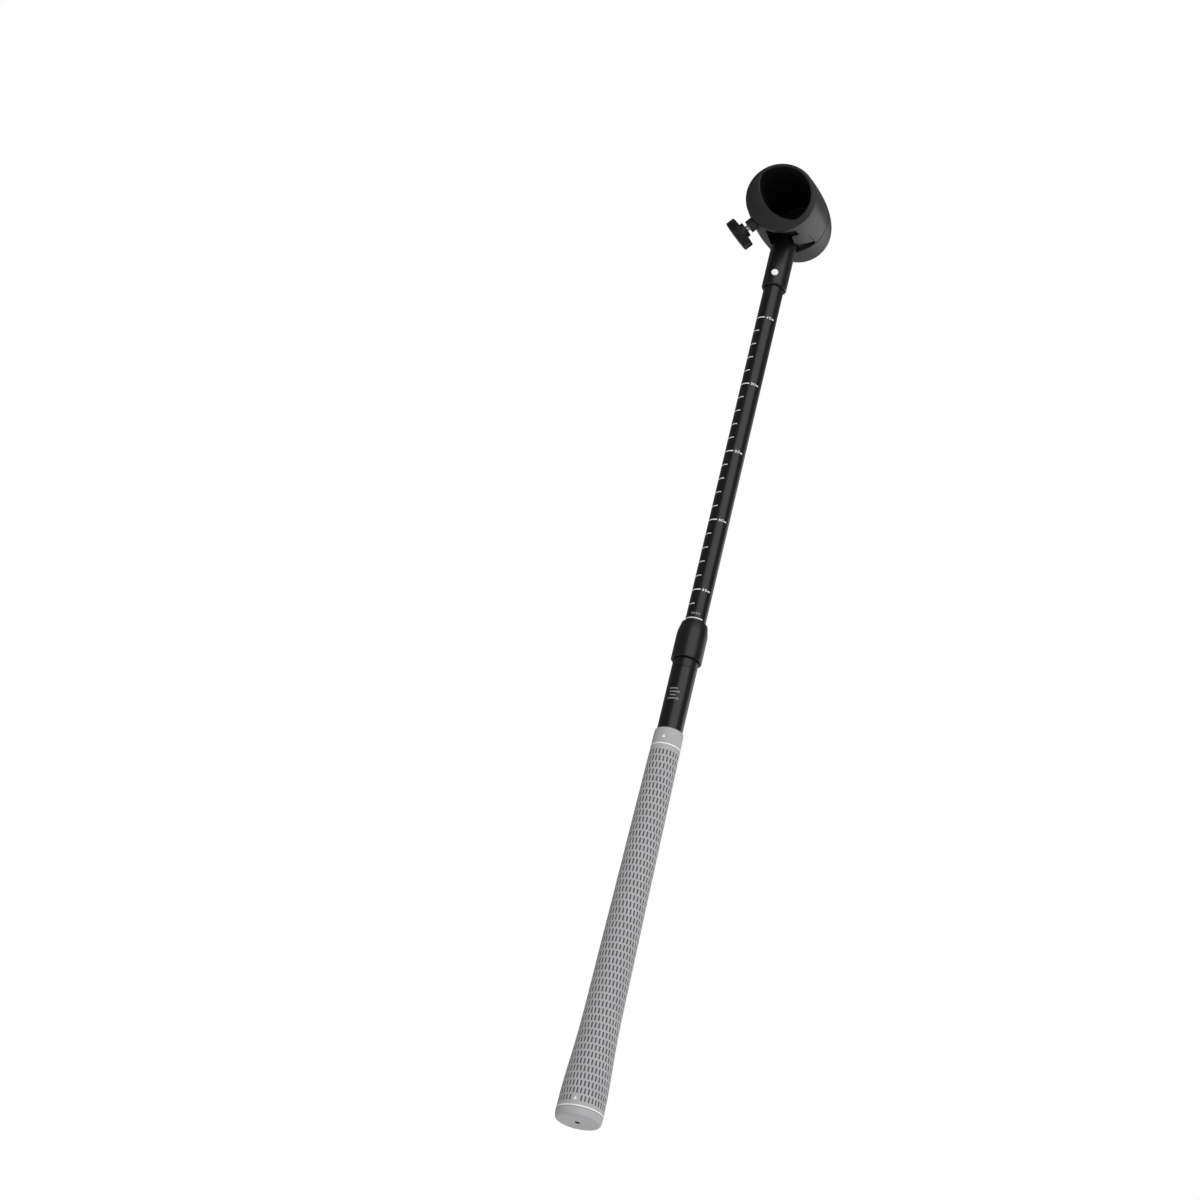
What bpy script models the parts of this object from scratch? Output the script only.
"""A swing trainer stick: a rubber golf grip, a telescopic shaft and a tilted cup that a controller handle plugs into."""

import math

import bpy
from mathutils import Matrix, Vector

MM = 0.001

# Distances along the stick from its butt end, in millimetres.
CAP_TOP = 4.8
SLEEVE_BOTTOM = 5.1
SLEEVE_TOP = 255.0
HANDLE_TUBE_TOP = 309.0
FERRULE_BOTTOM = 298.1
COLLAR_BOTTOM = 304.0
COLLAR_SHOULDER = 322.0
COLLAR_TOP = 330.0
SCALE_TUBE_BOTTOM = 270.0
SCALE_TUBE_TOP = 603.0
NECK_BOTTOM = 576.8
NECK_TOP = 615.2
BUTTON_HEIGHT = 585.3

# Radii about the stick's axis, in millimetres.
VENT_RADIUS = 1.6
HANDLE_TUBE_RADIUS = 8.0
HANDLE_TUBE_BORE = 7.2
HANDLE_TUBE_SWAGED_RADIUS = 7.5
HANDLE_TUBE_SWAGED_BORE = 6.85
SCALE_TUBE_RADIUS = 6.55
SCALE_TUBE_BORE = 5.75
NECK_RADIUS = 8.15
NECK_BORE = 6.7
BUTTON_RADIUS = 2.5
BUTTON_HOLE_RADIUS = 2.75

# The grip's radius at each height, from its top to its butt end.
GRIP_OUTLINE = [
    (8.75, 255.0), (9.05, 254.2), (9.15, 248.0), (9.35, 235.0), (9.75, 208.0), (10.2, 174.0),
    (10.6, 141.0), (11.1, 108.0), (11.5, 76.0), (11.9, 57.0), (12.55, 44.0), (13.35, 31.0),
    (14.0, 19.0), (14.15, 12.0), (14.3, 7.0), (14.25, 5.1),
]

# The cup leans back and is turned a little, so that its mouth looks slightly down and to the left.
CUP_TILT = math.radians(11.8)
CUP_TURN = math.radians(-2.9)
CUP_CENTRE = Vector((0.1, 0.0, 634.0))
CUP_MOUTH_FORWARD = 33.3
CUP_SPLIT_FRONT = 35.8
CUP_SPLIT_REAR = 36.1
CUP_LENGTH = 74.0
CUP_FLOOR = 61.7
# The cup's half-width towards the thumb screw at each depth behind its mouth.
CUP_OUTLINE = [
    (0.0, 22.9), (12.0, 23.7), (25.0, 24.1), (36.0, 24.1), (45.0, 23.6), (55.0, 22.5),
    (62.0, 21.1), (66.0, 19.5), (70.0, 15.6), (73.0, 9.0), (74.0, 3.0),
]
# How much wider the cup is across the thumb screw's direction, at each depth.
CUP_OVALITY = [(0.0, 1.04), (36.0, 1.03), (60.0, 1.0), (74.0, 1.0)]
# The hollow at each depth: its half-widths along and across the thumb screw's direction, then its centre.
CUP_HOLLOW = [
    (0.0, 20.1, 20.5, -0.3, -1.3), (36.0, 19.7, 20.1, -0.1, -0.4), (45.0, 18.9, 19.3, 0.0, 0.0),
    (55.0, 17.9, 17.9, 0.0, 0.0), (62.0, 17.0, 17.0, 0.0, 0.0),
]
# The hollow's side towards the thumb screw and the neck is flattened to an arc about one of these centres.
HOLLOW_ARC_RADIUS = 27.3
MOUTH_ARC_CENTRE = (-16.8, -0.5)
INNER_ARC_CENTRE = (-17.4, -3.6)
MOUTH_ARC_END = 3.0
INNER_ARC_START = 6.0
PAD_FACE = 10.2
PAD_BACK = 12.2
PAD_RADIUS = 5.0
PAD_RECESS_RADIUS = 5.3
PAD_RECESS_END = 17.6

# The neck ends in a pocket under the cup, beside a shallow notch that holds the side bracket.
POCKET_SIDE = NECK_RADIUS + 0.3
POCKET_FRONT = -25.2
POCKET_DEPTH = 7.5
NECK_SEAT_BACK = 6.3
NOTCH_DEPTH = 3.0
NOTCH_PLAN = [(8.0, -25.2), (11.0, -25.2), (12.9, -17.4), (17.6, -10.5), (19.0, 3.0), (19.0, 9.0), (8.0, 9.0)]
BRACKET_PLAN = [(8.0, -17.0), (12.6, -17.0), (17.0, -10.4), (18.2, 1.5), (14.7, -0.9), (8.95, -5.6), (8.0, -6.4)]
BRACKET_INSET = 0.6

# The thumb screw stands out of the cup's side, this far round from straight down towards the left.
SCREW_ANGLE = math.radians(45.7)
SCREW_DEPTH = 7.6
SCREW_RADIUS = 2.0
BUSH_RADIUS = 4.3
BUSH_END = 27.7
KNOB_HUB_START = 29.7
KNOB_START = 32.1
KNOB_END = 38.4
KNOB_RADIUS = 10.75
KNOB_LOBES = 10

ROUND_STEPS = 40
SMALL_STEPS = 24
LOFT_POINTS = 48

TURN = Matrix.Rotation(CUP_TURN, 3, "Z")
CUP_RIGHT = TURN @ Vector((1.0, 0.0, 0.0))
CUP_UP = TURN @ Vector((0.0, -math.sin(CUP_TILT), math.cos(CUP_TILT)))
CUP_OUT = TURN @ Vector((0.0, -math.cos(CUP_TILT), -math.sin(CUP_TILT)))
SCREW_OUT = -math.sin(SCREW_ANGLE) * CUP_RIGHT - math.cos(SCREW_ANGLE) * CUP_UP
SCREW_ACROSS = math.cos(SCREW_ANGLE) * CUP_RIGHT - math.sin(SCREW_ANGLE) * CUP_UP


def placed(x_axis, y_axis, z_axis, origin):
    """The matrix of an object with these axes, its origin given in millimetres."""
    matrix = Matrix((x_axis, y_axis, z_axis)).transposed().to_4x4()
    matrix.translation = origin * MM
    return matrix


UPRIGHT = Matrix.Identity(4)
MOUTH_CENTRE = CUP_CENTRE + CUP_MOUTH_FORWARD * CUP_OUT
# Inside the cup's frame, x runs towards the thumb screw, y across it and z out of the mouth.
CUP_FRAME = placed(SCREW_OUT, SCREW_ACROSS, CUP_OUT, MOUTH_CENTRE)
# The thumb screw's frame starts on the cup's axis, and its z runs outwards along the screw.
SCREW_FRAME = placed(CUP_OUT, -SCREW_ACROSS, SCREW_OUT, MOUTH_CENTRE - SCREW_DEPTH * CUP_OUT)
# The button's frame starts on the stick's axis, and its z runs forwards through the button.
BUTTON_FRAME = placed(
    Vector((1.0, 0.0, 0.0)), Vector((0.0, 0.0, 1.0)), Vector((0.0, -1.0, 0.0)),
    Vector((0.0, 0.0, BUTTON_HEIGHT)),
)


def clear_scene():
    for old in list(bpy.data.objects):
        bpy.data.objects.remove(old)


def new_collection(name):
    collection = bpy.data.collections.new(name)
    bpy.context.scene.collection.children.link(collection)
    return collection


clear_scene()
STICK = new_collection("swing_trainer_stick")
HELPERS = new_collection("cutters")


def material(name, colour, roughness, metallic=0.0):
    made = bpy.data.materials.new(name)
    made.use_nodes = True
    shader = made.node_tree.nodes["Principled BSDF"]
    shader.inputs["Base Color"].default_value = (*colour, 1.0)
    shader.inputs["Roughness"].default_value = roughness
    shader.inputs["Metallic"].default_value = metallic
    return made


RUBBER_GREY = (0.36, 0.36, 0.37)
BLACK_PLASTIC = (0.025, 0.025, 0.027)
BLACK_METAL = (0.03, 0.03, 0.032)
DARK_FOAM = (0.02, 0.02, 0.02)
STEEL = (0.55, 0.55, 0.56)
BRASS = (0.72, 0.55, 0.28)
WHITE_PLASTIC = (0.85, 0.85, 0.85)
PALE_NYLON = (0.7, 0.69, 0.65)


def mesh_object(name, points, faces, frame, look, edges=()):
    """An object in the stick's collection or, with no look, a hidden helper."""
    mesh = bpy.data.meshes.new(name)
    mesh.from_pydata([Vector(point) * MM for point in points], list(edges), faces)
    mesh.update()
    made = bpy.data.objects.new(name, mesh)
    made.matrix_world = frame
    if look is None:
        HELPERS.objects.link(made)
        made.hide_render = True
        made.display_type = "WIRE"
    else:
        STICK.objects.link(made)
        made.data.materials.append(material(name, *look))
    return made


def lathe(name, outline, frame, look, hollow=False, steps=ROUND_STEPS):
    """Turns an outline of (radius, height) about z. The outline starts at its top and runs down its outer side."""
    count = len(outline)
    points = [(radius, 0.0, height) for radius, height in outline]
    edges = [(index, index + 1) for index in range(count - 1)]
    if hollow:
        edges.append((count - 1, 0))
    made = mesh_object(name, points, [], frame, look, edges)
    turn = made.modifiers.new("turn", "SCREW")
    turn.axis = "Z"
    turn.angle = 2.0 * math.pi
    turn.steps = steps
    turn.render_steps = steps
    turn.use_merge_vertices = True
    turn.merge_threshold = 0.00001
    turn.use_normal_calculate = False
    return made


def pipe(name, outer, inner, bottom, top, frame, look, steps=ROUND_STEPS):
    outline = [(outer, top), (outer, bottom), (inner, bottom), (inner, top)]
    return lathe(name, outline, frame, look, hollow=True, steps=steps)


def rod(name, radius, bottom, top, frame, look, steps=SMALL_STEPS):
    outline = [(0.0, top), (radius, top), (radius, bottom), (0.0, bottom)]
    return lathe(name, outline, frame, look, steps=steps)


def loft(name, rings, frame, look, ring_shaped=False):
    """Skins rings of points that run anticlockwise about z, listed down the outer side."""
    around = len(rings[0])
    points = [point for ring in rings for point in ring]
    pairs = [(index, index + 1) for index in range(len(rings) - 1)]
    if ring_shaped:
        pairs.append((len(rings) - 1, 0))
    faces = []
    for upper, lower in pairs:
        for step in range(around):
            following = (step + 1) % around
            faces.append((
                upper * around + step,
                lower * around + step,
                lower * around + following,
                upper * around + following,
            ))
    if not ring_shaped:
        last = (len(rings) - 1) * around
        faces.append(tuple(range(around)))
        faces.append(tuple(last + step for step in reversed(range(around))))
    return mesh_object(name, points, faces, frame, look)


def prism(name, outline, axis, low, high, frame, look):
    """Pushes an outline along x, y or z. The outline runs anticlockwise seen from the axis's high end."""
    if axis == "x":
        rings = [[(at, first, second) for first, second in outline] for at in (high, low)]
    elif axis == "y":
        rings = [[(second, at, first) for first, second in outline] for at in (high, low)]
    else:
        rings = [[(first, second, at) for first, second in outline] for at in (high, low)]
    return loft(name, rings, frame, look)


def boolean(target, other, operation="DIFFERENCE"):
    change = target.modifiers.new(other.name, "BOOLEAN")
    change.operation = operation
    change.solver = "EXACT"
    change.object = other


def between(table, at, column=1):
    """The table's value at this depth, on a straight line between its rows."""
    for upper, lower in zip(table, table[1:]):
        if at <= lower[0]:
            share = (at - upper[0]) / (lower[0] - upper[0])
            return upper[column] + share * (lower[column] - upper[column])
    return table[-1][column]


def cup_ring(depth, inset=0.0, at=None):
    """The cup's outer outline at this depth, drawn at another depth if one is given."""
    along = between(CUP_OUTLINE, depth)
    across = along * between(CUP_OVALITY, depth)
    height = -(depth if at is None else at)
    ring = []
    for step in range(LOFT_POINTS):
        angle = 2.0 * math.pi * step / LOFT_POINTS
        ring.append(((along - inset) * math.cos(angle), (across - inset) * math.sin(angle), height))
    return ring


def hollow_ring(depth, arc_centre=None):
    """The hollow's outline at this depth, one side drawn in to the arc about the centre given."""
    along, across, middle_along, middle_across = (between(CUP_HOLLOW, depth, column) for column in (1, 2, 3, 4))
    ring = []
    for step in range(LOFT_POINTS):
        angle = 2.0 * math.pi * step / LOFT_POINTS
        x = middle_along + along * math.cos(angle)
        y = middle_across + across * math.sin(angle)
        if arc_centre:
            start_x, start_y = arc_centre
            reach = math.hypot(x - start_x, y - start_y)
            share = (1.0 + (reach / HOLLOW_ARC_RADIUS) ** 24) ** (-1.0 / 24.0)
            x = start_x + share * (x - start_x)
            y = start_y + share * (y - start_y)
        ring.append((x, y, -depth))
    return ring


def cup_body(name, inset):
    """A hidden solid of the whole cup with its surface moved in, or out where the inset is negative."""
    depths = [0.35, 6.0, 12.0, 18.0, 25.0, 31.0, 36.5, 45.0, 50.0, 55.0, 59.0, 62.0, 64.5, 66.5, 68.5, 70.0]
    if inset <= 1.0:
        depths += [71.6, 73.0]
    rings = [cup_ring(0.0, max(inset, 0.0), min(inset, 0.0))]
    rings += [cup_ring(depth, inset) for depth in depths]
    if inset <= 1.0:
        rings.append(cup_ring(CUP_LENGTH, inset, CUP_LENGTH - inset))
    return loft(name, rings, CUP_FRAME, None)


def build_grip():
    bore = HANDLE_TUBE_RADIUS + 0.3
    sleeve = GRIP_OUTLINE + [(bore, SLEEVE_BOTTOM), (bore, SLEEVE_TOP)]
    lathe("grip_sleeve", sleeve, UPRIGHT, (RUBBER_GREY, 0.75), hollow=True)
    end_cap = [
        (14.25, CAP_TOP), (14.1, 3.0), (13.75, 1.2), (13.1, 0.0), (VENT_RADIUS, 0.0), (VENT_RADIUS, 2.5),
        (bore, 2.5), (bore, CAP_TOP),
    ]
    lathe("grip_end_cap", end_cap, UPRIGHT, (RUBBER_GREY, 0.75), hollow=True)


def build_handle_tube():
    swage = FERRULE_BOTTOM - 0.2
    tube = [
        (HANDLE_TUBE_SWAGED_RADIUS, HANDLE_TUBE_TOP), (HANDLE_TUBE_SWAGED_RADIUS, swage), (HANDLE_TUBE_RADIUS, swage),
        (HANDLE_TUBE_RADIUS, 2.8), (HANDLE_TUBE_BORE, 2.8), (HANDLE_TUBE_BORE, swage - 1.6),
        (HANDLE_TUBE_SWAGED_BORE, swage - 1.0), (HANDLE_TUBE_SWAGED_BORE, HANDLE_TUBE_TOP),
    ]
    lathe("handle_tube", tube, UPRIGHT, (BLACK_METAL, 0.35, 0.6), hollow=True)
    pipe("tube_end_plug", 7.0, VENT_RADIUS, 3.1, 11.8, UPRIGHT, (BLACK_PLASTIC, 0.6))
    pipe("ferrule", HANDLE_TUBE_RADIUS, 7.6, FERRULE_BOTTOM, 305.1, UPRIGHT, (BLACK_PLASTIC, 0.4))
    clutch = [
        (8.9, 321.6), (8.9, 305.6), (7.6, 305.6), (7.6, HANDLE_TUBE_TOP + 0.3), (7.0, HANDLE_TUBE_TOP + 0.3),
        (7.0, 321.6),
    ]
    lathe("clutch_bush", clutch, UPRIGHT, (PALE_NYLON, 0.5), hollow=True)
    collet = lathe(
        "collet", [(7.6, 326.9), (8.45, 322.3), (6.75, 322.3), (6.75, 326.9)], UPRIGHT, (PALE_NYLON, 0.5), hollow=True
    )
    slot = prism(
        "collet_slot", [(-12.0, 320.0), (0.0, 320.0), (0.0, 330.0), (-12.0, 330.0)], "x", -0.5, 0.5, UPRIGHT, None
    )
    boolean(collet, slot)


def build_collar():
    collar = [
        (8.0, COLLAR_TOP), (8.4, COLLAR_TOP - 0.5), (9.7, COLLAR_SHOULDER), (9.7, COLLAR_BOTTOM + 0.3),
        (9.4, COLLAR_BOTTOM), (8.35, COLLAR_BOTTOM), (8.35, 305.2), (9.1, 305.2), (9.1, COLLAR_SHOULDER), (8.7, COLLAR_SHOULDER), (7.75, 327.2),
        (7.75, 329.3), (6.8, 329.3), (6.8, COLLAR_TOP),
    ]
    lathe("lock_collar", collar, UPRIGHT, (BLACK_PLASTIC, 0.4), hollow=True)
    pipe("wiper_seal", 7.55, 6.65, 327.3, 329.1, UPRIGHT, (DARK_FOAM, 0.8))


def build_scale_tube():
    tube = pipe(
        "scale_tube", SCALE_TUBE_RADIUS, SCALE_TUBE_BORE, SCALE_TUBE_BOTTOM, SCALE_TUBE_TOP, UPRIGHT,
        (BLACK_METAL, 0.3, 0.6),
    )
    bottom_plug = [
        (0.0, 281.0), (5.0, 281.0), (5.6, 280.4), (5.6, 269.7), (6.4, 269.7), (6.4, 267.6), (3.6, 267.6),
        (3.6, 261.8), (5.0, 261.8), (5.0, 259.9), (0.0, 259.9),
    ]
    lathe("tube_bottom_plug", bottom_plug, UPRIGHT, (BLACK_PLASTIC, 0.6), steps=32)
    pipe("guide_bush", 7.05, 3.75, 262.1, 267.3, UPRIGHT, (PALE_NYLON, 0.5))
    rod("tube_top_plug", 5.6, 594.0, SCALE_TUBE_TOP - 0.3, UPRIGHT, (BLACK_PLASTIC, 0.6), steps=32)
    return tube


def build_button(tube, neck):
    hole = rod("button_hole", BUTTON_HOLE_RADIUS, 2.0, 14.0, BUTTON_FRAME, None)
    boolean(tube, hole)
    boolean(neck, hole)
    button = [
        (0.0, 9.0), (1.5, 8.95), (2.2, 8.75), (BUTTON_RADIUS, 8.3), (BUTTON_RADIUS, 4.3), (3.6, 4.3), (3.6, 3.4),
        (0.0, 3.4),
    ]
    lathe("snap_button", button, BUTTON_FRAME, (WHITE_PLASTIC, 0.35), steps=SMALL_STEPS)
    # The leaf spring is a strip bent like a hairpin: (forwards, height) along it.
    bend = [
        (2.9, 5.0), (2.9, -5.0), (2.4, -9.5), (1.5, -12.0), (0.3, -12.9), (-1.0, -12.2), (-1.9, -9.5), (-2.2, -5.0),
        (-2.2, 5.5),
    ]
    points = [(side, height, forwards) for forwards, height in bend for side in (-2.2, 2.2)]
    faces = [(2 * step, 2 * step + 1, 2 * step + 3, 2 * step + 2) for step in range(len(bend) - 1)]
    spring = mesh_object("leaf_spring", points, faces, BUTTON_FRAME, (STEEL, 0.3, 1.0))
    thickness = spring.modifiers.new("thickness", "SOLIDIFY")
    thickness.thickness = 0.4 * MM
    thickness.offset = 0.0


def build_cup():
    outer = [cup_ring(0.0, 0.35), cup_ring(0.35)]
    outer += [cup_ring(depth) for depth in (6.0, 12.0, 18.0, 25.0, 31.0, CUP_SPLIT_FRONT - 0.4)]
    outer.append(cup_ring(CUP_SPLIT_FRONT, 0.4))
    inner = [hollow_ring(depth, INNER_ARC_CENTRE) for depth in (CUP_SPLIT_FRONT, INNER_ARC_START)]
    inner += [hollow_ring(depth, MOUTH_ARC_CENTRE) for depth in (MOUTH_ARC_END, 0.0)]
    shell = loft("cup_shell", outer + inner, CUP_FRAME, (BLACK_PLASTIC, 0.5), ring_shaped=True)
    recess = rod("pad_recess", PAD_RECESS_RADIUS, 8.0, PAD_RECESS_END, SCREW_FRAME, None)
    bush_hole = rod("bush_hole", BUSH_RADIUS + 0.15, 16.0, 32.0, SCREW_FRAME, None)
    pocket_plan = [
        (-POCKET_SIDE, POCKET_FRONT), (POCKET_SIDE, POCKET_FRONT), (POCKET_SIDE, 12.0), (-POCKET_SIDE, 12.0),
    ]
    pocket = prism("neck_pocket", pocket_plan, "z", 590.0, 630.0, UPRIGHT, None)
    boolean(pocket, cup_body("pocket_floor", POCKET_DEPTH))
    notch = prism("bracket_notch", NOTCH_PLAN, "z", 590.0, 630.0, UPRIGHT, None)
    boolean(notch, cup_body("notch_floor", NOTCH_DEPTH))
    for cutter in (recess, bush_hole, pocket, notch):
        boolean(shell, cutter)

    rear = [hollow_ring(depth) for depth in (CUP_FLOOR, 55.0, 45.0, CUP_SPLIT_REAR)]
    rear.append(cup_ring(CUP_SPLIT_REAR, 0.4))
    rear += [cup_ring(depth) for depth in (36.5, 45.0, 50.0, 55.0, 59.0, 62.0, 64.5, 66.5, 68.5, 70.0, 71.6, 73.0)]
    rear.append(cup_ring(CUP_LENGTH))
    loft("rear_cap", rear, CUP_FRAME, (BLACK_PLASTIC, 0.5))
    pad = [
        (0.0, -60.2), (15.0, -60.2), (15.2, -59.8), (16.1, -59.8), (16.3, -60.0), (16.3, -61.4), (0.0, -61.4),
    ]
    lathe("floor_pad", pad, CUP_FRAME, (DARK_FOAM, 0.9))


def build_neck():
    neck_outline = [
        (0.0, NECK_TOP + 3.0), (NECK_RADIUS, NECK_TOP + 3.0), (NECK_RADIUS, NECK_BOTTOM + 0.9),
        (NECK_RADIUS - 0.25, NECK_BOTTOM + 0.25), (NECK_RADIUS - 0.9, NECK_BOTTOM), (NECK_BORE, NECK_BOTTOM),
        (NECK_BORE, SCALE_TUBE_TOP + 1.0), (0.0, SCALE_TUBE_TOP + 1.0),
    ]
    neck = lathe("neck_socket", neck_outline, UPRIGHT, (BLACK_PLASTIC, 0.5))
    # The neck stays clear of the cup, except that it reaches into the pocket.
    room = cup_body("cup_room", -0.3)
    seat_plan = [(-9.0, -20.0), (9.0, -20.0), (9.0, NECK_SEAT_BACK), (-9.0, NECK_SEAT_BACK)]
    seat = prism("neck_seat", seat_plan, "z", 595.0, NECK_TOP, UPRIGHT, None)
    boolean(seat, cup_body("seat_floor", POCKET_DEPTH - 0.3))
    boolean(room, seat)
    boolean(neck, room)

    bracket = prism("side_bracket", BRACKET_PLAN, "z", 595.0, 630.0, UPRIGHT, (BLACK_PLASTIC, 0.5))
    neck_room = rod("neck_room", NECK_RADIUS + 0.3, 590.0, 640.0, UPRIGHT, None, steps=ROUND_STEPS)
    boolean(bracket, neck_room)
    boolean(bracket, cup_body("bracket_floor", NOTCH_DEPTH - 0.3))
    boolean(bracket, cup_body("bracket_face", BRACKET_INSET), "INTERSECT")
    return neck


def knob_ring(height, inset):
    ring = []
    for step in range(LOFT_POINTS):
        angle = 2.0 * math.pi * step / LOFT_POINTS
        radius = KNOB_RADIUS - inset - 0.4 * (1.0 - math.cos(KNOB_LOBES * angle))
        ring.append((radius * math.cos(angle), radius * math.sin(angle), height))
    return ring


def plain_ring(radius, height):
    angles = [2.0 * math.pi * step / LOFT_POINTS for step in range(LOFT_POINTS)]
    return [(radius * math.cos(angle), radius * math.sin(angle), height) for angle in angles]


def build_thumb_screw():
    pipe("thread_bush", BUSH_RADIUS, 2.15, PAD_RECESS_END + 0.3, BUSH_END, SCREW_FRAME, (BRASS, 0.35, 1.0), steps=32)
    rod("pressure_pad", PAD_RADIUS, PAD_FACE, PAD_BACK, SCREW_FRAME, (DARK_FOAM, 0.8))
    screw = [
        (0.0, 36.6), (3.4, 36.6), (3.4, 33.6), (SCREW_RADIUS, 33.6), (SCREW_RADIUS, 13.1), (1.4, 12.5), (0.0, 12.5),
    ]
    lathe("clamp_screw", screw, SCREW_FRAME, (STEEL, 0.3, 1.0), steps=SMALL_STEPS)
    knob = [
        knob_ring(KNOB_END, 0.5), knob_ring(KNOB_END - 0.5, 0.0), knob_ring(KNOB_START + 0.5, 0.0),
        knob_ring(KNOB_START, 0.5), plain_ring(5.0, KNOB_START), plain_ring(5.0, KNOB_HUB_START),
        plain_ring(2.2, KNOB_HUB_START), plain_ring(2.2, 33.3), plain_ring(3.7, 33.3), plain_ring(3.7, 37.0),
        plain_ring(6.5, 37.0), plain_ring(6.5, KNOB_END),
    ]
    loft("knob", knob, SCREW_FRAME, (BLACK_PLASTIC, 0.45), ring_shaped=True)
    rod("knob_cap", 6.3, 37.3, KNOB_END, SCREW_FRAME, (BLACK_PLASTIC, 0.4), steps=32)


build_grip()
build_handle_tube()
build_collar()
SCALE_TUBE = build_scale_tube()
build_cup()
NECK = build_neck()
build_button(SCALE_TUBE, NECK)
build_thumb_screw()
